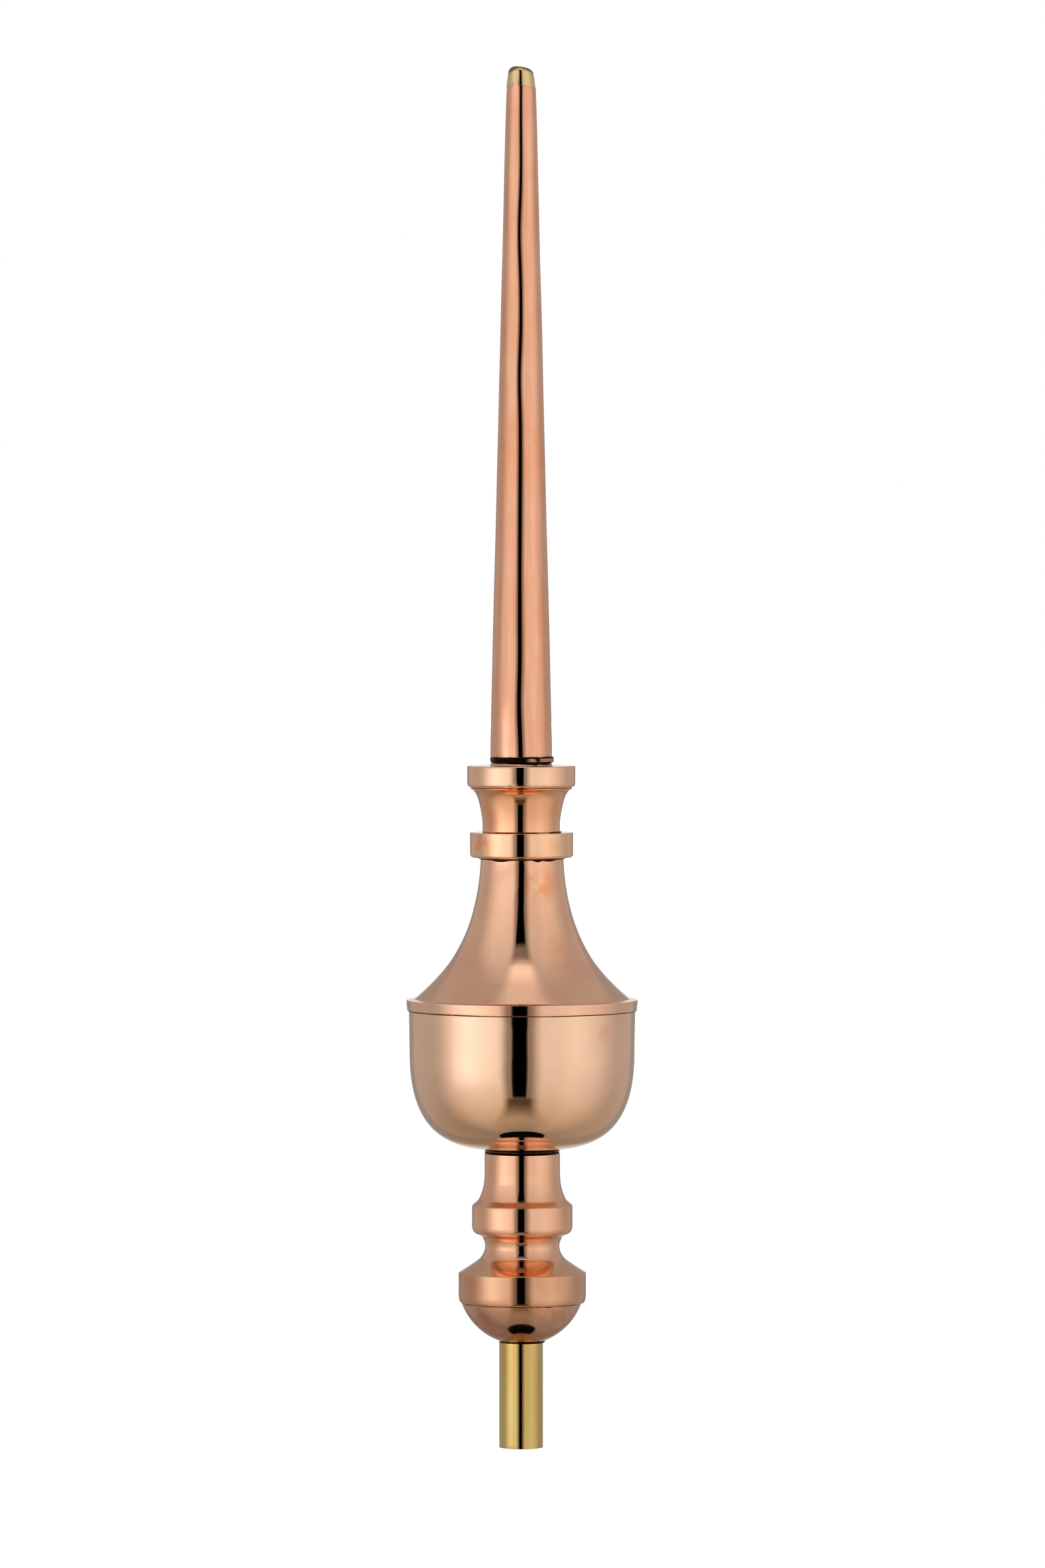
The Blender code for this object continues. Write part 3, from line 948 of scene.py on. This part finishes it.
class FINIAL_OT_bell(bpy.types.Operator):
    """Makes the bell, whose rim turns down as a short skirt over the bowl"""

    bl_idname = "finial.bell"
    bl_label = "Bell"

    def execute(self, context):
        sizes = context.scene.finial_body
        finishes = context.scene.finial_finishes
        foot = foot_of("bell")
        top = top_of("bell")
        ceiling = foot + sizes.bell_skirt
        rim = (sizes.bell_rim, ceiling + sizes.bell_edge)
        inside = sizes.bell_rim - sizes.bell_wall
        neck = (sizes.bell_neck, top)
        curve = swept(neck, rim, pull=0.82, lean=radians(2.4), ease=0.0, count=64)
        flare = [corner for corner in curve if corner[0] < sizes.bell_flare]
        knee = (sizes.bell_knee, rim[1] + sizes.bell_knee_height)
        ledge = (sizes.bell_rim - sizes.bell_ledge, rim[1] + 0.25 * MM)
        outline = [
            (0.0, top, 0.0),
            *flare,
            *pulled((flare[-1][:2], knee, ledge), 24)[1:-1],
            (*ledge, 0.3 * MM),
            (*rim, 0.15 * MM),
            (sizes.bell_rim - sizes.bell_taper, foot, 0.15 * MM),
            (inside, foot, 0.0),
            (inside, ceiling, 0.0),
            (0.0, ceiling, 0.0),
        ]
        metal = copper(
            "bell_copper", finishes.bell, finishes.polish, slope=1.0, spacing=0.9 * MM,
            line_depth=0.004 * MM, warm=finishes.warm, tints=TINTS["bell"],
        )
        dress("bell", outline, metal, bell_wear)
        return {"FINISHED"}


class FINIAL_OT_bowl(bpy.types.Operator):
    """Makes the deep bowl on its small recessed foot"""

    bl_idname = "finial.bowl"
    bl_label = "Bowl"

    def execute(self, context):
        sizes = context.scene.finial_body
        finishes = context.scene.finial_finishes
        foot = foot_of("bowl")
        top = top_of("bowl")
        bottom = (sizes.bowl_bottom, foot + sizes.bowl_foot_height)
        wall_foot = (sizes.bowl_radius - sizes.bowl_taper, top - sizes.bowl_wall)
        outline = [
            (0.0, top, 0.0),
            (sizes.bowl_radius, top, 0.0),
            *swept(wall_foot, bottom, pull=1.064, lean=0.0, ease=0.0685, count=64),
            (sizes.bowl_foot, bottom[1], 0.0),
            (sizes.bowl_foot, foot, 0.0),
            (0.0, foot, 0.0),
        ]
        metal = copper(
            "bowl_copper", finishes.bowl, finishes.polish, slope=-1.0, spacing=0.8 * MM,
            line_depth=0.0015 * MM, cloudiness=0.07, warm=finishes.warm, tints=TINTS["bowl"],
            # Painted shade: the recessed foot is painted near-black, and made rougher.
            zones=((0.0, bottom[1] + 0.1 * MM, 0.1 * MM, finishes.gap, 4.0),),
        )
        dress("bowl", outline, metal, bowl_wear)
        return {"FINISHED"}


# Spindle, half ball and rod


def spindle_wear(azimuth, height, radius):
    """Slight unevenness of the turned neck."""
    return waviness(azimuth, height, 21.0, 1.6, 0.05 * MM) - 0.02 * MM, 0.0


def ball_wear(azimuth, height, radius):
    """Soft flats rubbed on the half ball."""
    return waviness(azimuth, height, 31.0, 2.4, 0.10 * MM) - 0.03 * MM, 0.0


def rod_wear(azimuth, height, radius):
    """The bar stays true."""
    return 0.0, 0.0


class FINIAL_OT_spindle(bpy.types.Operator):
    """Makes the turned neck with its bead, cove, cover and skirt"""

    bl_idname = "finial.spindle"
    bl_label = "Spindle"

    def execute(self, context):
        sizes = context.scene.finial_spindle
        foot_sizes = context.scene.finial_foot
        finishes = context.scene.finial_finishes
        foot = foot_of("spindle")
        top = top_of("spindle")
        neck_foot = top - sizes.neck_height
        shoulder = (sizes.bead_radius - sizes.bead_slope_width, neck_foot - sizes.flare_height)
        edge = (sizes.bead_radius - 0.2 * MM, shoulder[1] - sizes.bead_slope)
        side_top = edge[1] - 0.4 * MM
        side_foot = side_top - sizes.bead_height
        under = (sizes.bead_radius - sizes.bead_round_width, side_foot - sizes.bead_round)
        cove_top = (sizes.throat_radius + sizes.cove_width, under[1] - sizes.bead_under)
        throat = (sizes.throat_radius, cove_top[1] - sizes.cove_height)
        rim = (sizes.cup_radius, throat[1] - sizes.cover_height)
        crease = (sizes.crease_radius, throat[1] - sizes.crease_drop)
        ceiling = rim[1] - sizes.band_rise
        inside = foot_sizes.rim_radius + 0.3 * MM
        turn = (inside + 0.1 * sizes.skirt_wall, foot)
        turn_top = (sizes.cup_radius, foot + sizes.skirt_round)
        outline = [
            (0.0, top, 0.0),
            (sizes.neck_radius, top, 0.2 * MM),
            *flared((sizes.neck_radius, neck_foot), shoulder, 2.4, 20),
            (*edge, 0.3 * MM),
            (sizes.bead_radius, side_top, 0.3 * MM),
            *rounded(under, (sizes.bead_radius, side_foot), 8)[::-1],
            *flared(throat, cove_top, 2.0, 8)[::-1],
            *flared(throat, crease, 2.0, 10)[1:],
            *flared(crease, rim, 1.12, 12)[1:-1],
            (*rim, 0.25 * MM),
            *rounded(turn, turn_top, 8)[::-1],
            (inside, foot, 0.0),
            (inside, ceiling, 0.0),
            (0.0, ceiling, 0.0),
        ]
        metal = copper(
            "spindle_copper", finishes.spindle, finishes.polish, slope=0.3, cloudiness=0.12,
            warm=finishes.warm, tints=TINTS["spindle"],
            zones=((0.0, rim[1] + 0.05 * MM, 0.15 * MM, finishes.band, 0.5),),
        )
        dress("spindle", outline, metal, spindle_wear)
        return {"FINISHED"}


class FINIAL_OT_foot(bpy.types.Operator):
    """Makes the half ball and the brass rod"""

    bl_idname = "finial.foot"
    bl_label = "Half Ball and Rod"

    def execute(self, context):
        sizes = context.scene.finial_foot
        finishes = context.scene.finial_finishes
        foot = foot_of("half_ball")
        centre = foot + sqrt(sizes.ball_radius**2 - sizes.rod_radius**2)
        start = asin(sizes.rim_radius / sizes.ball_radius)
        end = asin(sizes.rod_radius / sizes.ball_radius)

        def side(along):
            angle = start + (end - start) * along
            return sizes.ball_radius * sin(angle), centre - sizes.ball_radius * cos(angle)

        ball = [
            (0.0, top_of("half_ball"), 0.0),
            (sizes.rim_radius, top_of("half_ball"), 0.0),
            *traced(side, 40),
            (0.0, foot, 0.0),
        ]
        metal = satin_copper("half_ball_copper", finishes.ball, finishes.satin)
        dress("half_ball", ball, metal, ball_wear)

        rod = [
            (0.0, top_of("rod"), 0.0),
            (sizes.rod_radius, top_of("rod"), 0.0),
            (sizes.rod_radius, 0.0, sizes.rod_edge),
            (sizes.rod_radius - 1.0 * MM, 0.0, 0.0),
            (0.0, 0.0, 0.0),
        ]
        brass = drawn_brass("rod_brass", finishes.rod, finishes.drawn)
        dress("rod", rod, brass, rod_wear)
        return {"FINISHED"}


# Solder in the joints

# Drops of solder: (azimuth in degrees, outward, downward, spread in degrees)
SEAT_DROPS = ((30, 0.1 * MM, 0.2 * MM, 6),)
CUP_DROPS = ((68, 0.7 * MM, 0.0, 4),)
RING_DROPS = (
    (22, 0.2 * MM, 0.8 * MM, 4),
    (-32, 0.2 * MM, 0.6 * MM, 7),
    (40, 0.2 * MM, 0.5 * MM, 6),
    (150, 0.2 * MM, 0.6 * MM, 8),
)
BALL_DROPS = ((10, 0.1 * MM, 0.2 * MM, 2), (26, 0.1 * MM, 0.3 * MM, 2.5))


def solder_ring(name, radius, height, width, rise, material, uneven, drops, seed):
    """Spins an uneven ring of solder: width and rise are half its thickness and half its height."""
    outline = [
        (radius - width, height + rise, 0.0),
        (radius + 0.6 * width, height + 0.9 * rise, 0.0),
        (radius + width, height, 0.0),
        (radius + 0.6 * width, height - 0.9 * rise, 0.0),
        (radius - width, height - rise, 0.0),
        (radius - width, height + rise, 0.0),
    ]
    bm = laid_out(outline)
    bmesh.ops.remove_doubles(bm, verts=bm.verts[:], dist=TOUCHING)
    spun(bm, 160)

    def uneven_wear(azimuth, place, reach):
        rough = waviness(azimuth, 0.0, seed, 4.0, uneven)
        rough += waviness(azimuth, 0.0, seed + 9, 11.0, 0.4 * uneven)
        if reach < radius:
            rough = 0.0
        outward = rough * width * 1.4
        upward = rough * rise * (1 if place > height else -1)
        for side, out, down, spread in drops:
            near = bump(degrees(azimuth), side, spread)
            outward += out * near if reach > radius else 0.0
            upward -= down * near if place < height else 0.0
        return outward, upward

    worn(bm, uneven_wear)
    piece = piece_from(bm, name, material)
    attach(piece, BODY)


class FINIAL_OT_solder(bpy.types.Operator):
    """Makes the uneven rings of solder that close the joints"""

    bl_idname = "finial.solder"
    bl_label = "Solder"

    def execute(self, context):
        finishes = context.scene.finial_finishes
        spire = context.scene.finial_spire
        cup = context.scene.finial_cup
        body = context.scene.finial_body
        spindle = context.scene.finial_spindle
        feet = context.scene.finial_foot
        bronze = finishes.solder_bright
        under_spire = foot_of("spire")
        dark = solder("burnt_solder", finishes.solder_dark, bronze, 0.02)
        # Painted shade: near-black all over, for the ring in the gap under the bowl.
        gap = solder("gap_shade_solder", finishes.gap, finishes.gap, -0.3)
        # Near-black under the spire's foot, bronze towards +X and within a band of heights.
        seat = solder("seat_solder", finishes.seat_gap, bronze, 0.0, 30.0,
                      (under_spire - 1.7 * MM, under_spire - 0.3 * MM))
        seam = solder("seam_and_shadow_solder", finishes.seam, bronze, 0.02)
        rings = (
            ("solder_spire_seat", spire.seat_radius + 0.55 * MM, under_spire - 0.85 * MM,
             0.75 * MM, 1.35 * MM, seat, 0.2, SEAT_DROPS, 1.0),
            ("solder_cup_foot", cup.waist_radius, foot_of("upper_cup") - 0.15 * MM,
             0.30 * MM, 0.30 * MM, seam, 0.3, CUP_DROPS, 2.0),
            ("solder_ring_foot", body.bell_neck + 0.2 * MM, top_of("bell") + 0.05 * MM,
             0.50 * MM, 0.50 * MM, dark, 0.6, RING_DROPS, 3.0),
            # Painted shade as well as a seam: this dark ring stands for the shadow line under the
            # bell's skirt.
            ("solder_skirt_seam_shadow", body.bell_rim - 0.85 * MM, foot_of("bell") - 0.10 * MM,
             0.35 * MM, 0.34 * MM, seam, 0.2, (), 8.0),
            # Solder ring at the bowl's foot, near-black: painted shade of the gap.
            ("solder_bowl_foot_shade", spindle.neck_radius - 0.7 * MM, foot_of("bowl") + 0.2 * MM,
             0.45 * MM, 0.75 * MM, gap, 0.2, (), 4.0),
            ("solder_ball_seam", feet.rim_radius - 0.1 * MM, foot_of("spindle") + 0.1 * MM,
             0.50 * MM, 0.35 * MM, seam, 0.5, BALL_DROPS, 5.0),
            ("solder_rod_joint", feet.rod_radius + 0.1 * MM, foot_of("half_ball") - 0.1 * MM,
             0.35 * MM, 0.45 * MM, dark, 0.3, (), 6.0),
        )
        for ring in rings:
            solder_ring(*ring)
        return {"FINISHED"}


# Studio

# Parts of the light tent: (from, to, softness of both ends) in degrees of azimuth or rise.
LEFT_WALL = (-86.0, -3.0, 20.0)
RIGHT_WALL = (-3.0, 92.0, 26.0)
LEFT_GLOW = (-66.0, -28.0, 16.0)
RIGHT_CORNER = (45.0, 66.0, 12.0)
LEVEL_BAND = (-14.0, 11.0, 6.0)
OPENING_WIDTH = (-10.4, 5.6, 1.2)
OPENING_HEIGHT = (-29.0, 51.0, 3.0)
KEY_PEAK = (-59.0, -55.0, 20.0)
KEY_GLOW = (-80.0, -24.0, 12.0)

# Angles in degrees between which a part of the tent comes in or ends.
BACKDROP_SIDE = (166.0, 177.0)
BACK_CORNER = (140.0, 155.0)
LEFT_SHADE = (-25.0, -13.0)
RIGHT_SHADE = (4.0, 23.0)
SHADE_TOP = (57.0, 69.0)
SHADE_FOOT = (-62.0, -31.0)
SHADE_TURN = (-32.0, -27.0)
NARROW_FOOT = (-68.0, -30.0)
SHADE_FAN = (45.0, 68.0)
OPENING_FAN = (20.0, 52.0)
STRIP_START = (57.5, 76.0)
STRIP_SPREAD = (45.0, 75.0)
STRIP_FADE = (75.0, 88.0)
STRIP_END = (106.0, 118.0)
FLOOR_WARMTH = (-45.0, -10.0)

WALL_GLOW = 0.10
CORNER_SHADE = -0.16
FLOOR_SLOPE = 0.10
STRIP_WIDTH = 0.19
STRIP_SOFTNESS = 0.09
TO_DEGREES = 180 / pi
WHITE = (1.0, 1.0, 1.0)
WARM_WHITE = (1.0, 0.83, 0.58)


def light_material(name):
    """Makes a material of light alone and returns it with its tree, emission and output."""
    material = bpy.data.materials.new(name)
    material.use_nodes = True
    material.cycles.emission_sampling = "NONE"
    tree = material.node_tree
    tree.nodes.clear()
    output = tree.nodes.new("ShaderNodeOutputMaterial")
    light = tree.nodes.new("ShaderNodeEmission")
    tree.links.new(light.outputs[0], output.inputs["Surface"])
    return material, tree, light, output


def tent_walls(studio, azimuth, rise):
    """Brightness of the tent's walls, brighter left and right of the camera and far behind."""
    left = window(azimuth, *LEFT_WALL) * (studio.left - studio.sides)
    left = left * (window(rise, *LEVEL_BAND) * -studio.level_dip + 1.0)
    right = window(azimuth, *RIGHT_WALL) * (studio.right - studio.sides)
    glow = window(azimuth, *RIGHT_CORNER) * WALL_GLOW + window(azimuth, *LEFT_GLOW) * WALL_GLOW
    turned = calc("ABSOLUTE", azimuth)
    backdrop = eased(turned, *BACKDROP_SIDE) * (studio.backdrop - studio.sides)
    corner = eased(turned, *BACK_CORNER) * CORNER_SHADE
    return left + right + studio.sides + glow + (backdrop + corner)


def tent_pole(studio, x, z):
    """Brightness straight up and straight down, where the floor is brighter towards +X."""
    above = eased(z, -0.1, 0.1)
    return above * studio.roof + (1.0 - above) * (x * FLOOR_SLOPE + studio.below)


def camera_shade(narrowed, rise, low):
    """Shade of the space round the camera, soft at both sides; low is 1 near the floor."""
    fanned = narrowed * eased(rise, *SHADE_FAN, 1.0, 0.60)
    shade = calc("MINIMUM", eased(fanned, *LEFT_SHADE, 0.0, 0.66),
                 eased(fanned, *RIGHT_SHADE, 0.80, 0.0))
    below = calc("MULTIPLY", shade, 1.45, clamp=True) * eased(rise, *SHADE_FOOT, 0.14, 0.93)
    return (shade * (1.0 - low) + below * low) * eased(rise, *SHADE_TOP, 1.0, 0.0)


def tent_opening(narrowed, rise):
    """Dark opening in front, through which the camera looks."""
    across = narrowed * eased(rise, *OPENING_FAN, 1.0, 0.70)
    return window(across, *OPENING_WIDTH) * window(rise, *OPENING_HEIGHT)


def roof_strip(across, over):
    """Bright strip overhead that begins in front as a point and grows wider."""
    reach = eased(over, *STRIP_SPREAD, 0.0, STRIP_WIDTH)
    inside = eased(across, reach - STRIP_SOFTNESS, reach + STRIP_SOFTNESS, 1.0, 0.0)
    fade = eased(over, *STRIP_START) * eased(over, *STRIP_FADE, 1.0, 0.54)
    return inside * fade * eased(over, *STRIP_END, 1.0, 0.0)


def light_tent(studio):
    """Emission of the tent by direction: walls, roof, floor, roof strip and the dark opening."""
    material, tree, light, output = light_material("light_tent")
    unit = tree.nodes.new("ShaderNodeVectorMath")
    unit.operation = "NORMALIZE"
    tree.links.new(tree.nodes.new("ShaderNodeTexCoord").outputs["Object"], unit.inputs[0])
    x, y, z = parts_of(Wire(tree, unit.outputs[0]))
    front = y * -1.0
    azimuth = calc("ARCTAN2", x, front) * TO_DEGREES
    rise = calc("ARCSINE", z) * TO_DEGREES
    over = calc("ARCTAN2", z, front) * TO_DEGREES

    upright = 1.0 - calc("ABSOLUTE", rise) / 90.0
    level = tent_walls(studio, azimuth, rise) * upright + tent_pole(studio, x, z) * (1.0 - upright)
    narrowed = azimuth * eased(rise, *NARROW_FOOT, 0.33, 1.0)
    low = eased(rise, *SHADE_TURN, 1.0, 0.0)
    shade = camera_shade(narrowed, rise, low)
    level = level * (1.0 - shade) * (1.0 - tent_opening(narrowed, rise))
    level = level + roof_strip(calc("ABSOLUTE", x), over) * studio.strip
    feed(light.inputs["Strength"], level)
    warmth = shade * (low * 0.6 + 0.4)
    warmth = calc("ADD", warmth, eased(rise, *FLOOR_WARMTH, 0.50, 0.0), clamp=True)
    feed(light.inputs["Color"], blended(warmth, WHITE, WARM_WHITE))
    return material


def key_panel(studio):
    """Light of the key panel, which stands near on the left and fades towards its edges."""
    material, tree, light, output = light_material("key_panel")
    clear = tree.nodes.new("ShaderNodeBsdfTransparent")
    both = tree.nodes.new("ShaderNodeAddShader")
    tree.links.new(light.outputs[0], both.inputs[0])
    tree.links.new(clear.outputs[0], both.inputs[1])
    tree.links.new(both.outputs[0], output.inputs["Surface"])
    place, x, y, z = place_of(tree)
    azimuth = calc("ARCTAN2", x, y * -1.0) * TO_DEGREES
    glow = window(azimuth, *KEY_PEAK) * 0.70 + window(azimuth, *KEY_GLOW) * 0.22
    fade = eased(z, -0.34, -0.02) * eased(z, 0.27, 0.39, 1.0, 0.0)
    feed(light.inputs["Strength"], glow * fade * studio.key)
    light.inputs["Color"].default_value = (1.0, 1.05, 1.20, 1.0)
    return material


def studio_piece(bm, name, material, shown=False):
    """Makes a piece of the studio that only reflections show, or only the camera if shown."""
    piece = piece_from(bm, name, material)
    piece.visible_shadow = False
    piece.visible_camera = shown
    piece.visible_glossy = not shown
    piece.visible_diffuse = not shown


def set_backdrop(scene):
    """White world behind everything, shown without a film look."""
    world = bpy.data.worlds.new("white_backdrop")
    world.use_nodes = True
    background = world.node_tree.nodes["Background"]
    background.inputs["Color"].default_value = (*WHITE, 1.0)
    background.inputs["Strength"].default_value = 1.0
    world.cycles.sampling_method = "NONE"
    scene.world = world
    scene.view_settings.view_transform = "Standard"


def set_camera(scene, studio):
    """Upright camera with a long lens, a little above the finial's middle."""
    lens = bpy.data.cameras.new("camera")
    lens.sensor_fit = "VERTICAL"
    lens.sensor_height = 36.0
    lens.lens = studio.lens
    lens.clip_end = 100.0
    camera = bpy.data.objects.new("camera", lens)
    tilt = atan2(studio.camera_height - studio.aim_height, studio.camera_distance)
    camera.location = (studio.camera_side, -studio.camera_distance, studio.camera_height)
    camera.rotation_euler = (pi / 2 - tilt, 0.0, 0.0)
    scene.collection.objects.link(camera)
    scene.camera = camera


class FINIAL_OT_studio(bpy.types.Operator):
    """Makes the camera, the light tent, the stand below and the pale floor"""

    bl_idname = "finial.studio"
    bl_label = "Studio"

    def execute(self, context):
        studio = context.scene.finial_studio
        bm = bmesh.new()
        bmesh.ops.create_uvsphere(bm, u_segments=96, v_segments=48, radius=studio.tent_radius)
        bmesh.ops.reverse_faces(bm, faces=bm.faces[:])
        studio_piece(bm, "light_tent", light_tent(studio))

        bm = bmesh.new()
        foot = bm.verts.new((-studio.panel_side, studio.panel_back, studio.panel_foot))
        head = bm.verts.new((-studio.panel_side, studio.panel_back, studio.panel_head))
        bmesh.ops.spin(
            bm, geom=[foot, head, bm.edges.new((foot, head))], cent=(0.0, 0.0, 0.0),
            axis=(0.0, 0.0, 1.0), dvec=(0.0, 0.0, 0.0), angle=radians(86), steps=30,
        )
        studio_piece(bm, "key_panel", key_panel(studio))

        bm = bmesh.new()
        bmesh.ops.create_circle(bm, cap_ends=True, segments=64, radius=studio.stand_radius)
        bmesh.ops.translate(bm, verts=bm.verts[:], vec=(0.0, studio.stand_back, -studio.stand_drop))
        dark, tree, shader = new_material("stand_black")
        shader.inputs["Base Color"].default_value = (0.004, 0.004, 0.004, 1.0)
        shader.inputs["Roughness"].default_value = 0.9
        shader.inputs["Specular IOR Level"].default_value = 0.0
        studio_piece(bm, "dark_stand", dark)

        bm = bmesh.new()
        bmesh.ops.create_grid(bm, x_segments=1, y_segments=1, size=14.0)
        pale, tree, shader = new_material("pale_floor")
        shader.inputs["Base Color"].default_value = (0.9, 0.9, 0.9, 1.0)
        shader.inputs["Roughness"].default_value = 0.9
        shader.inputs["Emission Color"].default_value = (*WHITE, 1.0)
        shader.inputs["Emission Strength"].default_value = 1.0
        pale.cycles.emission_sampling = "NONE"
        studio_piece(bm, "floor", pale, shown=True)

        set_backdrop(context.scene)
        set_camera(context.scene, studio)
        return {"FINISHED"}


class FINIAL_PT_panel(bpy.types.Panel):
    """Lists the finial's pieces"""

    bl_label = "Roof Finial"
    bl_idname = "FINIAL_PT_panel"
    bl_space_type = "VIEW_3D"
    bl_region_type = "UI"
    bl_category = "Finial"

    def draw(self, context):
        for operator in OPERATORS:
            self.layout.operator(operator.bl_idname)


GROUPS = {
    "finial_spire": FinialSpireSizes,
    "finial_cup": FinialCupSizes,
    "finial_body": FinialBodySizes,
    "finial_spindle": FinialSpindleSizes,
    "finial_foot": FinialFootSizes,
    "finial_finishes": FinialFinishes,
    "finial_studio": FinialStudio,
}

OPERATORS = (
    FINIAL_OT_spire,
    FINIAL_OT_upper_cup,
    FINIAL_OT_collar_ring,
    FINIAL_OT_bell,
    FINIAL_OT_bowl,
    FINIAL_OT_spindle,
    FINIAL_OT_foot,
    FINIAL_OT_solder,
    FINIAL_OT_studio,
)


def register():
    """Registers the classes and hangs the settings on the scene."""
    for group in GROUPS.values():
        bpy.utils.register_class(group)
    for name, group in GROUPS.items():
        setattr(bpy.types.Scene, name, PointerProperty(type=group))
    for operator in OPERATORS:
        bpy.utils.register_class(operator)
    bpy.utils.register_class(FINIAL_PT_panel)


def unregister():
    """Takes the classes and settings away again."""
    bpy.utils.unregister_class(FINIAL_PT_panel)
    for operator in reversed(OPERATORS):
        bpy.utils.unregister_class(operator)
    for name, group in GROUPS.items():
        delattr(bpy.types.Scene, name)
        bpy.utils.unregister_class(group)


def main():
    """Makes the studio and every piece."""
    register()
    bpy.ops.finial.studio()
    bpy.ops.finial.spire()
    bpy.ops.finial.upper_cup()
    bpy.ops.finial.collar_ring()
    bpy.ops.finial.bell()
    bpy.ops.finial.bowl()
    bpy.ops.finial.spindle()
    bpy.ops.finial.foot()
    bpy.ops.finial.solder()


if __name__ == "__main__":
    main()
